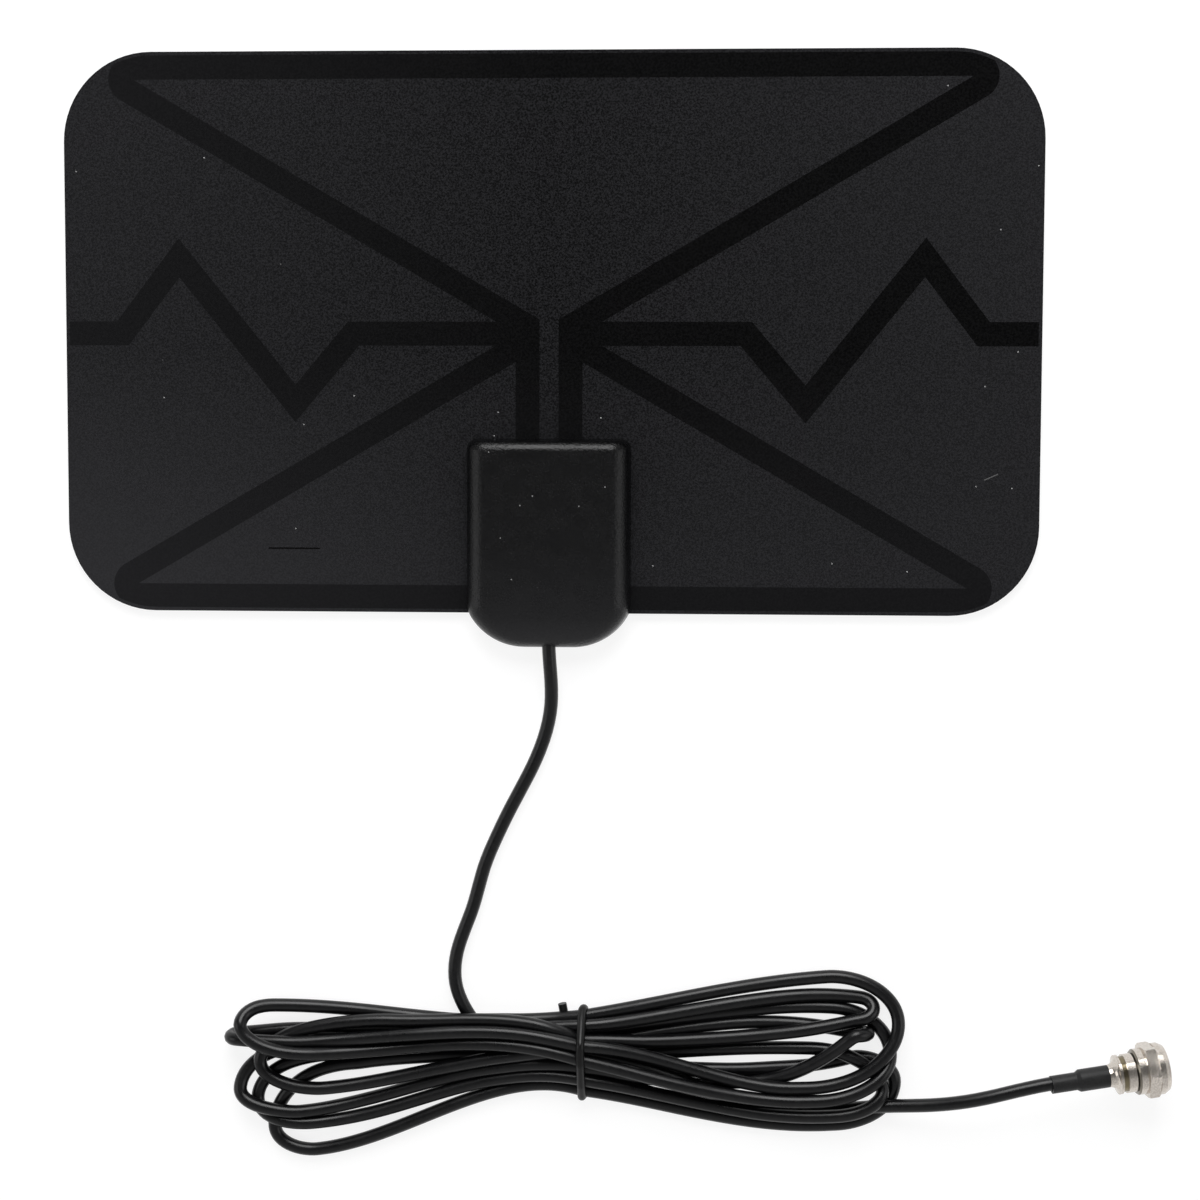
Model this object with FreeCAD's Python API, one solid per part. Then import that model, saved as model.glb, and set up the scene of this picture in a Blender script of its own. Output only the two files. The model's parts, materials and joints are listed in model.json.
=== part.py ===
import FreeCAD
import Part
import math
import os

# Indoor TV antenna lying on its back: a thin sheet with a foil element, a small clamped
# matching box at its lower edge, and a coaxial lead folded into a tied hank with a screw-on plug.
# Millimetres. +X runs along the sheet, +Y up its face, +Z out of its face. The origin is at the
# middle of the bottom of the sheet and box together, on the surface that the antenna lies on.

Vec = FreeCAD.Vector
UP = Vec(0, 0, 1)

# Sheet
PANEL_W = 220.0
PANEL_H = 126.0
PANEL_T = 0.6
PANEL_CORNER_R = 20.0

# Foil element, let into the front face of the sheet
FOIL_T = 0.1
TRACE_W = 5.4
TRACE_EDGE_MARGIN = 0.8
TIP_FROM_EDGE = 6.0
TIP_ROUND_R = 5.3
SLANT_ROOT_X = 2.0
FEED_GAP = 4.3
FEED_REACH_IN_BOX = 19.0
WAVE_INNER_X = 44.3
WAVE_VALLEY_X = 57.6
WAVE_PEAK_FROM_EDGE = 26.0
WAVE_OUTER_FROM_EDGE = 13.0
WAVE_VALLEY_DEPTH = 15.7
WAVE_PEAK_HEIGHT = 17.0

# Matching box: outer form
BOX_W = 37.2
BOX_L = 47.3
BOX_OVERHANG = 7.8
BOX_HEAD_CORNER_R = 2.0
BOX_FOOT_SIDE_R = 6.5
BOX_FOOT_R = 14.5
BOX_FOOT_TURN = 57.0
REAR_T = 1.5
REAR_EDGE_CHAMFER = 0.4
COVER_H = 6.5
COVER_DRAFT_W = 0.7
COVER_SIDE_R = 4.4
COVER_HEAD_R = 2.4
COVER_ROLL_L = 11.5
COVER_ROLL_DROP = 1.8
HEAD_CORNER_LEAST_R = 0.8
OUTLINE_GAP = 0.001

# Matching box: inside
COVER_WALL = 1.5
SHEET_SLOT_CLEARANCE = 0.2
PEG_R = 1.5
PEG_WALL_GAP = 1.0
PEG_HEAD_SETBACK = 6.0
PEG_PITCH = 24.0
PEG_SHEET_CLEARANCE = 0.2
PEG_SOCKET_FLOOR = 0.5
SADDLE_W = 7.0
SADDLE_SETBACK = 0.5
SADDLE_CLEARANCE = 0.1
CLAMP_RIB_W = 7.0
CLAMP_RIB_T = 1.6

# Matching board and transformer
BOARD_W = 20.0
BOARD_L = 22.0
BOARD_T = 1.6
BOARD_HEAD_SETBACK = 10.5
RIVET_R = 1.0
RIVET_HEAD_R = 1.7
RIVET_HEAD_T = 0.5
RIVET_POCKET_CLEARANCE = 0.2
CORE_W = 7.0
CORE_L = 6.0
CORE_H = 3.2
CORE_HOLE_R = 0.9
CORE_HOLE_X = 1.9
CORE_FROM_RIVETS = 7.5
WINDING_R = 0.2
WINDING_LEVEL = 0.4
WINDING_OVERSHOOT = 1.3
WINDING_FOOT_RUN = 1.6

# Coaxial lead
CORD_R = 1.5
DIELECTRIC_R = 0.75
COAX_CORE_R = 0.25
PIGTAIL_R = 0.35
DIELECTRIC_STRIP = 3.5
DIELECTRIC_TO_BOARD = 1.75
PAD_INSET = 2.5
PIGTAIL_PAD_X = 5.0
ARC_SHARE = 0.45

# Route of the lead between the box and the hank, after its straight exit
EXIT_RUN = 8.75
DROP_ROUTE = [
    Vec(-3.4, -93.5, 1.6),
    Vec(-11.0, -108.5, 1.6),
    Vec(-16.2, -122.5, 1.6),
    Vec(-21.5, -136.0, 1.6),
    Vec(-22.0, -147.0, 1.6),
    Vec(-17.0, -156.5, 1.8),
]

# Hank: plan outline of its two loose ends and the tied neck between them
HANK_H = 10.0
HANK_EDGE_R = 3.0
HANK_OUTLINE = [
    Vec(8.0, -149.2),
    Vec(-28.0, -149.6),
    Vec(-58.0, -147.6),
    Vec(-74.0, -155.5),
    Vec(-72.0, -171.0),
    Vec(-54.0, -185.0),
    Vec(-24.0, -175.5),
    Vec(8.0, -169.4),
    Vec(36.0, -174.6),
    Vec(60.0, -177.6),
    Vec(77.0, -170.5),
    Vec(81.5, -152.0),
    Vec(67.0, -139.6),
    Vec(36.0, -143.6),
]
TIE_X = 8.1
TIE_Y = -159.3
TIE_W = 2.2
TIE_T = 1.6
TIE_SIDE_GAP = 0.2
NECK_W = 18.4
NECK_H = 7.0
NECK_CORNER_R = 2.5
TIE_END_R = 0.8
TIE_END_LENGTH = 5.0

# Route of the lead from the hank to the plug, before its straight run into the sleeve
TAIL_ROUTE = [
    Vec(66.0, -172.6, 2.4),
    Vec(76.0, -171.2, 3.4),
    Vec(88.0, -170.1, 6.5),
    Vec(100.0, -167.5, 9.4),
]

# Plug, turned about its own axis. Stations are measured forward from the rear of the flange.
PLUG_X = 128.4
PLUG_Y = -161.8
PLUG_YAW = 7.6
PLUG_NOSE_DOWN = 8.5
PLUG_FLOOR_GAP = 0.2
FLANGE_R = 4.4
FLANGE_T = 0.6
GROOVE_R = 4.0
GROOVE_T = 1.2
COLLAR_R = 4.35
COLLAR_T = 1.9
PLUG_NECK_R = 3.3
RETAINER_R = 4.1
RETAINER_T = 1.2
INSULATOR_R = 2.2
PIN_R = 0.5
PIN_PROUD = 1.0
PIN_ROOT_R = 1.0
PIN_ROOT_PROUD = 0.4
TAIL_STRAIGHT = 12.5
FERRULE_L = 8.5
FERRULE_T = 0.5
SLEEVE_L = 15.0
SLEEVE_T = 0.5
SLEEVE_STEP_L = 0.8
NUT_L = 7.1
NUT_FLATS = 11.1
NUT_HEX_L = 2.65
NUT_REAR_L = 2.1
NUT_REAR_R = 5.15
NUT_FRONT_R = 5.8
NUT_EDGE_CHAMFER = 0.35
NUT_NOSE_L = 1.1
NUT_NOSE_DROP = 0.6
NUT_LIP_T = 1.3
NUT_BORE_R = 4.7
NUT_MOUTH_CHAMFER = 0.4
NUT_RUNNING_GAP = 0.05
NUT_END_GAP = 0.3
NUT_ROLL = 31.5

# Levels and places that follow from those sizes
panel_y = BOX_OVERHANG / 2
panel_foot_y = panel_y - PANEL_H / 2
box_foot_y = panel_foot_y - BOX_OVERHANG
box_head_y = box_foot_y + BOX_L
roll_start_y = box_foot_y + COVER_ROLL_L
sheet_back_z = REAR_T
sheet_front_z = sheet_back_z + PANEL_T
cover_top_z = sheet_front_z + COVER_H
ceiling_z = cover_top_z - COVER_WALL
board_top_z = sheet_front_z + BOARD_T
board_head_y = box_head_y - BOARD_HEAD_SETBACK
board_foot_y = board_head_y - BOARD_L
cord_axis_z = board_top_z + COAX_CORE_R
jacket_end_y = board_foot_y - DIELECTRIC_TO_BOARD - DIELECTRIC_STRIP
tip_x = PANEL_W / 2 - TIP_FROM_EDGE
wave_peak_x = PANEL_W / 2 - WAVE_PEAK_FROM_EDGE
wave_outer_x = PANEL_W / 2 - WAVE_OUTER_FROM_EDGE
feed_x = (FEED_GAP + TRACE_W) / 2
feed_foot_y = box_head_y - FEED_REACH_IN_BOX
rivet_y = feed_foot_y + TRACE_W / 2
core_y = rivet_y - CORE_FROM_RIVETS
core_z = board_top_z + CORE_H / 2
pad_y = board_foot_y + PAD_INSET
peg_x = BOX_W / 2 - COVER_WALL - COVER_DRAFT_W - PEG_WALL_GAP - PEG_R
peg_ys = [box_head_y - PEG_HEAD_SETBACK, box_head_y - PEG_HEAD_SETBACK - PEG_PITCH]
peg_places = [(side * peg_x, y) for side in (-1, 1) for y in peg_ys]

groove_s = FLANGE_T
collar_s = groove_s + GROOVE_T
plug_neck_s = collar_s + COLLAR_T
nut_s = plug_neck_s + NUT_END_GAP
retainer_s = nut_s + NUT_LIP_T + NUT_END_GAP
post_end_s = retainer_s + RETAINER_T
nut_hex_s = nut_s + NUT_REAR_L
nut_front_s = nut_hex_s + NUT_HEX_L
nut_end_s = nut_s + NUT_L
pin_root_end_s = post_end_s + PIN_ROOT_PROUD
pin_end_s = nut_end_s + PIN_PROUD
ferrule_r = CORD_R + FERRULE_T
sleeve_r = ferrule_r + SLEEVE_T
flare_r = FLANGE_R - sleeve_r
jacket_end_s = -flare_r
nut_corner_r = NUT_FLATS / math.sqrt(3)
nose_down = math.radians(PLUG_NOSE_DOWN)
hex_front_z = PLUG_FLOOR_GAP + nut_corner_r * math.cos(nose_down)
plug_base = Vec(PLUG_X, PLUG_Y, hex_front_z + nut_front_s * math.sin(nose_down))
plug_place = FreeCAD.Placement(plug_base, FreeCAD.Rotation(PLUG_YAW, PLUG_NOSE_DOWN, 0))


def unit(vector):
    return Vec(vector).normalize()


def box(x0, x1, y0, y1, z0, z1):
    return Part.makeBox(x1 - x0, y1 - y0, z1 - z0, Vec(x0, y0, z0))


def rod(start, end, radius):
    return Part.makeCylinder(radius, (end - start).Length, start, end - start)


def arc_corner(centre, radius, start_deg, turn_deg=90.0):
    """An arc, a quarter turn if not said otherwise, anticlockwise from the given bearing."""
    bearings = [math.radians(start_deg + turn_deg * share) for share in (0, 0.5, 1)]
    points = [centre + Vec(radius * math.cos(b), radius * math.sin(b), 0) for b in bearings]
    return Part.Arc(*points).toShape()


def joined_outline(arcs):
    """A closed outline of arcs, with straight lines between those that don't meet."""
    edges = []
    for arc, following in zip(arcs, arcs[1:] + arcs[:1]):
        edges.append(arc)
        end = arc.lastVertex().Point
        start = following.firstVertex().Point
        if (start - end).Length > OUTLINE_GAP:
            edges.append(Part.LineSegment(end, start).toShape())
    return Part.Wire(edges)


def rounded_outline(x0, x1, y0, y1, corner_r, z):
    """A rectangle with round corners."""
    low_x, high_x, low_y, high_y = x0 + corner_r, x1 - corner_r, y0 + corner_r, y1 - corner_r
    places = [(high_x, high_y), (low_x, high_y), (low_x, low_y), (high_x, low_y)]
    return joined_outline([arc_corner(Vec(x, y, z), corner_r, 90 * k) for k, (x, y) in enumerate(places)])


def panel_prism(inset, z, thickness):
    half_w = PANEL_W / 2 - inset
    half_h = PANEL_H / 2 - inset
    wire = rounded_outline(-half_w, half_w, panel_y - half_h, panel_y + half_h, PANEL_CORNER_R - inset, z)
    return Part.Face(wire).extrude(UP * thickness)


def box_outline(inset, z, further=0.0):
    """The box's plan, drawn in by an inset: round head corners, which may lie further up than the box's own, and a
    foot that turns tightly, then widely."""
    head_r = max(BOX_HEAD_CORNER_R - inset, HEAD_CORNER_LEAST_R)
    head_x = BOX_W / 2 - inset - head_r
    head_y = box_head_y - inset - head_r + further
    turn = math.radians(BOX_FOOT_TURN)
    apart = BOX_FOOT_R - BOX_FOOT_SIDE_R
    side_x = BOX_W / 2 - BOX_FOOT_SIDE_R
    foot_x = side_x - apart * math.sin(turn)
    foot_y = box_foot_y + BOX_FOOT_R
    side_y = foot_y - apart * math.cos(turn)
    side_turn = 90 - BOX_FOOT_TURN
    return joined_outline([
        arc_corner(Vec(head_x, head_y, z), head_r, 0),
        arc_corner(Vec(-head_x, head_y, z), head_r, 90),
        arc_corner(Vec(-side_x, side_y, z), BOX_FOOT_SIDE_R - inset, 180, side_turn),
        arc_corner(Vec(-foot_x, foot_y, z), BOX_FOOT_R - inset, 180 + side_turn, BOX_FOOT_TURN),
        arc_corner(Vec(foot_x, foot_y, z), BOX_FOOT_R - inset, 270, BOX_FOOT_TURN),
        arc_corner(Vec(side_x, side_y, z), BOX_FOOT_SIDE_R - inset, 270 + BOX_FOOT_TURN, side_turn),
    ])


def strip(points):
    """A flat foil strip of the trace's width along a centreline, with mitred corners."""
    runs = [unit(after - before) for before, after in zip(points, points[1:])]
    left_side = []
    right_side = []
    for point, behind, ahead in zip(points, runs[:1] + runs, runs + runs[-1:]):
        across = unit(UP.cross(behind) + UP.cross(ahead))
        reach = TRACE_W / 2 / across.dot(UP.cross(ahead))
        left_side.append(point + across * reach)
        right_side.append(point - across * reach)
    outline = left_side + right_side[::-1]
    face = Part.Face(Part.makePolygon(outline + outline[:1]))
    return face.extrude(UP * FOIL_T)


def round_tips(loop):
    """Rounds the two sharp outer tips of a loop, which are its upright edges furthest out."""
    upright = [edge for edge in loop.Edges if abs(edge.tangentAt(edge.FirstParameter).z) > 0.5]
    furthest = max(abs(edge.CenterOfMass.x) for edge in upright)
    tips = [edge for edge in upright if abs(edge.CenterOfMass.x) > furthest - FOIL_T]
    return loop.makeFillet(TIP_ROUND_R, tips)


def radiating_element():
    z = sheet_front_z - FOIL_T
    bar_y = PANEL_H / 2 - TRACE_EDGE_MARGIN - TRACE_W / 2
    pieces = []
    for side in (-1, 1):
        pieces.append(round_tips(strip([
            Vec(-SLANT_ROOT_X, panel_y, z),
            Vec(-tip_x, panel_y + side * bar_y, z),
            Vec(tip_x, panel_y + side * bar_y, z),
            Vec(SLANT_ROOT_X, panel_y, z),
        ])))
        pieces.append(strip([
            Vec(side * FEED_GAP / 2, panel_y, z),
            Vec(side * WAVE_INNER_X, panel_y, z),
            Vec(side * WAVE_VALLEY_X, panel_y - WAVE_VALLEY_DEPTH, z),
            Vec(side * wave_peak_x, panel_y + WAVE_PEAK_HEIGHT, z),
            Vec(side * wave_outer_x, panel_y, z),
            Vec(side * PANEL_W / 2, panel_y, z),
        ]))
        pieces.append(strip([Vec(side * feed_x, panel_y, z), Vec(side * feed_x, feed_foot_y, z)]))
    foil = pieces[0].multiFuse(pieces[1:]).common(panel_prism(TRACE_EDGE_MARGIN, z, FOIL_T))
    half_gap = FEED_GAP / 2
    foil = foil.cut(box(-half_gap, half_gap, feed_foot_y, panel_y + TRACE_W, z, sheet_front_z))
    return foil.cut(rivet_shanks()).removeSplitter()


def rivet_shanks():
    shanks = [rod(Vec(side * feed_x, rivet_y, 0), Vec(side * feed_x, rivet_y, board_top_z), RIVET_R)
              for side in (-1, 1)]
    return Part.makeCompound(shanks)


def pegs(radius, z0, z1):
    return Part.makeCompound([rod(Vec(x, y, z0), Vec(x, y, z1), radius) for x, y in peg_places])


def panel_sheet(foil):
    sheet = panel_prism(0, sheet_back_z, PANEL_T)
    holes = pegs(PEG_R + PEG_SHEET_CLEARANCE, sheet_back_z, sheet_front_z)
    return sheet.cut(foil).cut(holes).cut(rivet_shanks())


def cord_bore():
    return rod(Vec(0, box_foot_y - CORD_R, cord_axis_z), Vec(0, jacket_end_y, cord_axis_z), CORD_R)


def saddle_block(clearance):
    """The block under the lead, from the exit to the sheet or to the jacket's end, whichever comes first."""
    half_w = SADDLE_W / 2 + clearance
    head_y = min(panel_foot_y - SHEET_SLOT_CLEARANCE, jacket_end_y)
    return box(-half_w, half_w, box_foot_y + SADDLE_SETBACK, head_y, sheet_back_z, cord_axis_z)


def cover_side_profile(inset):
    """The cover's side view, or that of its hollow: flat from a drafted head, then rolling off towards the foot."""
    top_z = cover_top_z - inset
    head_y = box_head_y - inset
    roll_r = (COVER_ROLL_L ** 2 + COVER_ROLL_DROP ** 2) / (2 * COVER_ROLL_DROP)
    half_turn = math.asin(COVER_ROLL_L / roll_r) / 2
    roll_start = Vec(-BOX_W, roll_start_y, top_z)
    roll_middle = roll_start + Vec(0, -roll_r * math.sin(half_turn), roll_r * (math.cos(half_turn) - 1))
    roll_end = Vec(-BOX_W, box_foot_y, top_z - COVER_ROLL_DROP)
    head_top = Vec(-BOX_W, head_y - COVER_DRAFT_W, top_z)
    head_base = Vec(-BOX_W, head_y, sheet_back_z)
    foot_base = Vec(-BOX_W, box_foot_y, sheet_back_z)
    edges = [Part.Arc(roll_end, roll_middle, roll_start).toShape()]
    corners = [roll_start, head_top, head_base, foot_base, roll_end]
    for before, after in zip(corners, corners[1:]):
        edges.append(Part.LineSegment(before, after).toShape())
    return Part.Face(Part.Wire(edges)).extrude(Vec(2 * BOX_W, 0, 0))


def cover_block(inset):
    """The cover's drafted plan under its side view, or the hollow that lies an inset within it, with round edges."""
    plan = Part.makeLoft([
        box_outline(inset, sheet_back_z, BOX_W),
        box_outline(inset + COVER_DRAFT_W, cover_top_z, BOX_W),
    ], True, True)
    block = plan.common(cover_side_profile(inset))
    block = block.makeFillet(COVER_SIDE_R - inset, [edge for edge in block.Edges if on_side_rim(edge)])
    head = max(block.Faces, key=lambda face: face.CenterOfMass.y)
    head_edges = [edge for edge in head.Edges if edge.BoundBox.ZMax > sheet_front_z]
    return block.makeFillet(COVER_HEAD_R - inset, head_edges)


def on_side_rim(edge):
    """Whether an edge joins the sides or foot to the top: not the head's edge, nor the start of the roll-off."""
    middle = edge.CenterOfMass
    above_walls = edge.BoundBox.ZMin > sheet_front_z
    across = abs(middle.x) < OUTLINE_GAP and middle.y > roll_start_y - OUTLINE_GAP
    return above_walls and not across


def housing_front_cover():
    outside = cover_block(0)
    cover = outside.cut(cover_block(COVER_WALL))
    rib_y = (box_foot_y + jacket_end_y - CLAMP_RIB_T) / 2
    half_rib = CLAMP_RIB_W / 2
    rib = box(-half_rib, half_rib, rib_y, rib_y + CLAMP_RIB_T, cord_axis_z, cover_top_z).common(outside)
    cover = cover.fuse(rib).fuse(pegs(PEG_R, sheet_front_z, ceiling_z + COVER_WALL / 2))
    slot_foot_y = panel_foot_y - SHEET_SLOT_CLEARANCE
    cover = cover.cut(box(-BOX_W, BOX_W, slot_foot_y, box_head_y + BOX_W, sheet_back_z, sheet_front_z))
    notch = saddle_block(SADDLE_CLEARANCE)
    mouth = box(-SADDLE_W / 2 - SADDLE_CLEARANCE, SADDLE_W / 2 + SADDLE_CLEARANCE,
                box_foot_y - SADDLE_SETBACK, box_foot_y + COVER_WALL, sheet_back_z, cord_axis_z)
    cover = cover.cut(notch).cut(mouth).cut(cord_bore())
    peg_floor_z = PEG_SOCKET_FLOOR + PEG_SHEET_CLEARANCE
    return cover.fuse(pegs(PEG_R, peg_floor_z, sheet_front_z)).removeSplitter()


def housing_rear_cover():
    plate = Part.Face(box_outline(0, 0)).extrude(UP * REAR_T)
    back_edges = [edge for edge in plate.Edges if edge.BoundBox.ZMax < REAR_EDGE_CHAMFER]
    plate = plate.makeChamfer(REAR_EDGE_CHAMFER, back_edges)
    plate = plate.fuse(saddle_block(0)).cut(cord_bore())
    plate = plate.cut(pegs(PEG_R, PEG_SOCKET_FLOOR, REAR_T))
    pocket_r = RIVET_HEAD_R + RIVET_POCKET_CLEARANCE
    pocket_z = REAR_T - RIVET_HEAD_T - RIVET_POCKET_CLEARANCE
    for side in (-1, 1):
        plate = plate.cut(rod(Vec(side * feed_x, rivet_y, pocket_z), Vec(side * feed_x, rivet_y, REAR_T), pocket_r))
    return plate.removeSplitter()


def matching_board():
    half_w = BOARD_W / 2
    return box(-half_w, half_w, board_foot_y, board_head_y, sheet_front_z, board_top_z).cut(rivet_shanks())


def feed_rivet(side):
    """A rivet through board, foil and sheet, with a head on the board and one behind the sheet."""
    def at(z):
        return Vec(side * feed_x, rivet_y, z)
    shank = rod(at(sheet_back_z - RIVET_HEAD_T), at(board_top_z + RIVET_HEAD_T), RIVET_R)
    front_head = rod(at(board_top_z), at(board_top_z + RIVET_HEAD_T), RIVET_HEAD_R)
    back_head = rod(at(sheet_back_z - RIVET_HEAD_T), at(sheet_back_z), RIVET_HEAD_R)
    return shank.fuse(front_head).fuse(back_head).removeSplitter()


def balun_core():
    """A round-sided ferrite block with two holes along it."""
    half_l = CORE_L / 2
    end_x = CORE_W / 2 - CORE_H / 2
    core = box(-end_x, end_x, core_y - half_l, core_y + half_l, board_top_z, board_top_z + CORE_H)
    for side in (-1, 1):
        core = core.fuse(rod(Vec(side * end_x, core_y - half_l, core_z),
                             Vec(side * end_x, core_y + half_l, core_z), CORE_H / 2))
    for side in (-1, 1):
        core = core.cut(rod(Vec(side * CORE_HOLE_X, core_y - half_l, core_z),
                            Vec(side * CORE_HOLE_X, core_y + half_l, core_z), CORE_HOLE_R))
    return core.removeSplitter()


def route_wire(points):
    """Straight runs joined by tangent arcs, each as large as its two runs allow."""
    edges = []
    radii = []
    start = points[0]
    for before, corner, after in zip(points, points[1:], points[2:]):
        back = unit(before - corner)
        ahead = unit(after - corner)
        half_turn = (math.pi - back.getAngle(ahead)) / 2
        reach = ARC_SHARE * min((before - corner).Length, (after - corner).Length)
        radius = reach / math.tan(half_turn)
        radii.append(radius)
        middle = corner + unit(back + ahead) * (radius / math.cos(half_turn) - radius)
        arc_start = corner + back * reach
        arc_end = corner + ahead * reach
        edges.append(Part.LineSegment(start, arc_start).toShape())
        edges.append(Part.Arc(arc_start, middle, arc_end).toShape())
        start = arc_end
    edges.append(Part.LineSegment(start, points[-1]).toShape())
    return Part.Wire(edges), radii


def tube(name, points, radius):
    path, radii = route_wire(points)
    ring = Part.Wire(Part.Circle(points[0], points[1] - points[0], radius).toShape())
    body = path.makePipeShell([ring], True, False)
    expected = math.pi * radius ** 2 * path.Length
    print(name, "length", round(path.Length, 1), "radii", [round(r, 1) for r in radii],
          "volume share", round(body.Volume / expected, 4))
    return body


def balun_winding(name, side, level, foot_x, foot_y):
    """A hairpin of wire through both holes of the core, with its two feet on the board on one side of it."""
    near_y = core_y + side * (CORE_L / 2 + WINDING_OVERSHOOT)
    far_y = core_y - side * (CORE_L / 2 + WINDING_OVERSHOOT)
    foot_z = board_top_z + WINDING_R
    leg_z = core_z + level
    half = [
        Vec(CORE_HOLE_X, far_y, leg_z),
        Vec(CORE_HOLE_X, near_y, leg_z),
        Vec(foot_x, foot_y - side * WINDING_FOOT_RUN, foot_z),
        Vec(foot_x, foot_y, foot_z),
    ]
    mirrored = [Vec(-point.x, point.y, point.z) for point in half]
    return tube(name, mirrored[::-1] + half, WINDING_R)


def coax_end_pieces():
    jacket_end = Vec(0, jacket_end_y, cord_axis_z)
    strip_end = jacket_end + Vec(0, DIELECTRIC_STRIP, 0)
    pigtail_z = board_top_z + PIGTAIL_R
    pigtail_x = (DIELECTRIC_R + CORD_R) / 2
    pigtail_points = [
        Vec(pigtail_x, jacket_end_y, pigtail_z),
        Vec(pigtail_x, jacket_end_y + DIELECTRIC_STRIP / 2, pigtail_z),
        Vec(PIGTAIL_PAD_X, board_foot_y + PIGTAIL_R, pigtail_z),
        Vec(PIGTAIL_PAD_X, pad_y, pigtail_z),
    ]
    return {
        "coax_dielectric": rod(jacket_end, strip_end, DIELECTRIC_R),
        "coax_core": rod(strip_end, Vec(0, pad_y, cord_axis_z), COAX_CORE_R),
        "braid_pigtail": tube("braid_pigtail", pigtail_points, PIGTAIL_R),
    }


def cord_drop():
    inside = Vec(0, jacket_end_y, cord_axis_z)
    outside = Vec(0, box_foot_y - EXIT_RUN, cord_axis_z)
    return tube("cord_drop", [inside, outside] + DROP_ROUTE, CORD_R)


def neck_bar(half_length, grow):
    """The tied neck's section, grown evenly by a thickness, as a bar along X."""
    half_w = NECK_W / 2 + grow
    corner_r = NECK_CORNER_R + grow
    low_z = TIE_T - grow
    high_z = TIE_T + NECK_H + grow
    flat = rounded_outline(-half_w, half_w, low_z, high_z, corner_r, 0)
    stand = FreeCAD.Placement(Vec(TIE_X - half_length, TIE_Y, 0), FreeCAD.Rotation(UP, Vec(1, 0, 0)))
    turn = FreeCAD.Placement(Vec(), FreeCAD.Rotation(UP, 90))
    flat.Placement = stand.multiply(turn)
    return Part.Face(flat).extrude(Vec(2 * half_length, 0, 0))


def cord_hank():
    """The outer form of the folded turns: two loose ends joined by the neck that the tie holds."""
    curve = Part.BSplineCurve()
    curve.interpolate(HANK_OUTLINE, PeriodicFlag=True)
    hank = Part.Face(Part.Wire(curve.toShape())).extrude(UP * HANK_H)
    rims = [edge for edge in hank.Edges if edge.BoundBox.ZLength < HANK_EDGE_R]
    hank = hank.makeFillet(HANK_EDGE_R, rims)
    half_slot = TIE_W / 2 + TIE_SIDE_GAP
    reach = NECK_W
    slot = box(TIE_X - half_slot, TIE_X + half_slot, TIE_Y - reach, TIE_Y + reach, 0, HANK_H)
    return hank.cut(slot).fuse(neck_bar(half_slot + TIE_W, 0)).removeSplitter()


def hank_tie():
    """A band round the neck, with its twisted end lying along the hank."""
    band = neck_bar(TIE_W / 2, TIE_T).cut(neck_bar(TIE_W / 2, 0))
    end_y = TIE_Y + NECK_W / 2 + TIE_T
    end_z = TIE_T + NECK_H / 2
    root = Vec(TIE_X, end_y, end_z)
    return band.fuse(rod(root, root - Vec(TIE_W / 2 + TIE_END_LENGTH, 0, 0), TIE_END_R)).removeSplitter()


def on_plug(station):
    """A point on the plug's axis."""
    return plug_place.multVec(Vec(station, 0, 0))


def cord_tail():
    return tube("cord_tail", TAIL_ROUTE + [on_plug(jacket_end_s - TAIL_STRAIGHT), on_plug(jacket_end_s)], CORD_R)


def turned(profile):
    """A closed profile of (station, radius) pairs turned about the plug's axis."""
    points = [Vec(station, radius, 0) for station, radius in profile]
    face = Part.Face(Part.makePolygon(points + points[:1]))
    return face.revolve(Vec(), Vec(1, 0, 0), 360)


def heat_shrink_sleeve():
    thin_r = CORD_R + SLEEVE_T
    return turned([
        (-SLEEVE_L, CORD_R), (-SLEEVE_L, thin_r),
        (-FERRULE_L - SLEEVE_STEP_L, thin_r), (-FERRULE_L, sleeve_r),
        (-flare_r, sleeve_r), (-flare_r, ferrule_r), (-FERRULE_L, ferrule_r), (-FERRULE_L, CORD_R),
    ])


def crimp_ferrule():
    return turned([
        (-FERRULE_L, CORD_R), (-FERRULE_L, ferrule_r), (-flare_r, ferrule_r), (-flare_r, CORD_R),
    ])


def connector_flare():
    """The bell-shaped rear of the plug's body, a quarter circle from the sleeve out to the flange."""
    root = Vec(-flare_r, sleeve_r, 0)
    rim = Vec(0, FLANGE_R, 0)
    centre = Vec(-flare_r, FLANGE_R, 0)
    middle = centre + unit(Vec(1, -1, 0)) * flare_r
    corners = [rim, Vec(0, INSULATOR_R, 0), Vec(-flare_r, INSULATOR_R, 0), root]
    edges = [Part.Arc(root, middle, rim).toShape()]
    for before, after in zip(corners, corners[1:]):
        edges.append(Part.LineSegment(before, after).toShape())
    return Part.Face(Part.Wire(edges)).revolve(Vec(), Vec(1, 0, 0), 360)


def connector_body():
    barrel = turned([
        (0, INSULATOR_R), (0, FLANGE_R), (groove_s, FLANGE_R),
        (groove_s, GROOVE_R), (collar_s, GROOVE_R),
        (collar_s, COLLAR_R), (plug_neck_s, COLLAR_R),
        (plug_neck_s, PLUG_NECK_R), (retainer_s, PLUG_NECK_R),
        (retainer_s, RETAINER_R), (post_end_s, RETAINER_R), (post_end_s, INSULATOR_R),
    ])
    return barrel.fuse(connector_flare()).removeSplitter()


def connector_insulator():
    return turned([
        (-flare_r, PIN_ROOT_R), (-flare_r, INSULATOR_R), (post_end_s, INSULATOR_R), (post_end_s, PIN_ROOT_R),
    ])


def centre_pin():
    """The pin, with a thicker root in the insulator and a pointed free end."""
    return turned([
        (-flare_r, 0), (-flare_r, PIN_ROOT_R), (pin_root_end_s, PIN_ROOT_R), (pin_root_end_s, PIN_R),
        (pin_end_s - PIN_R / 2, PIN_R), (pin_end_s, PIN_R / 2), (pin_end_s, 0),
    ])


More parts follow.
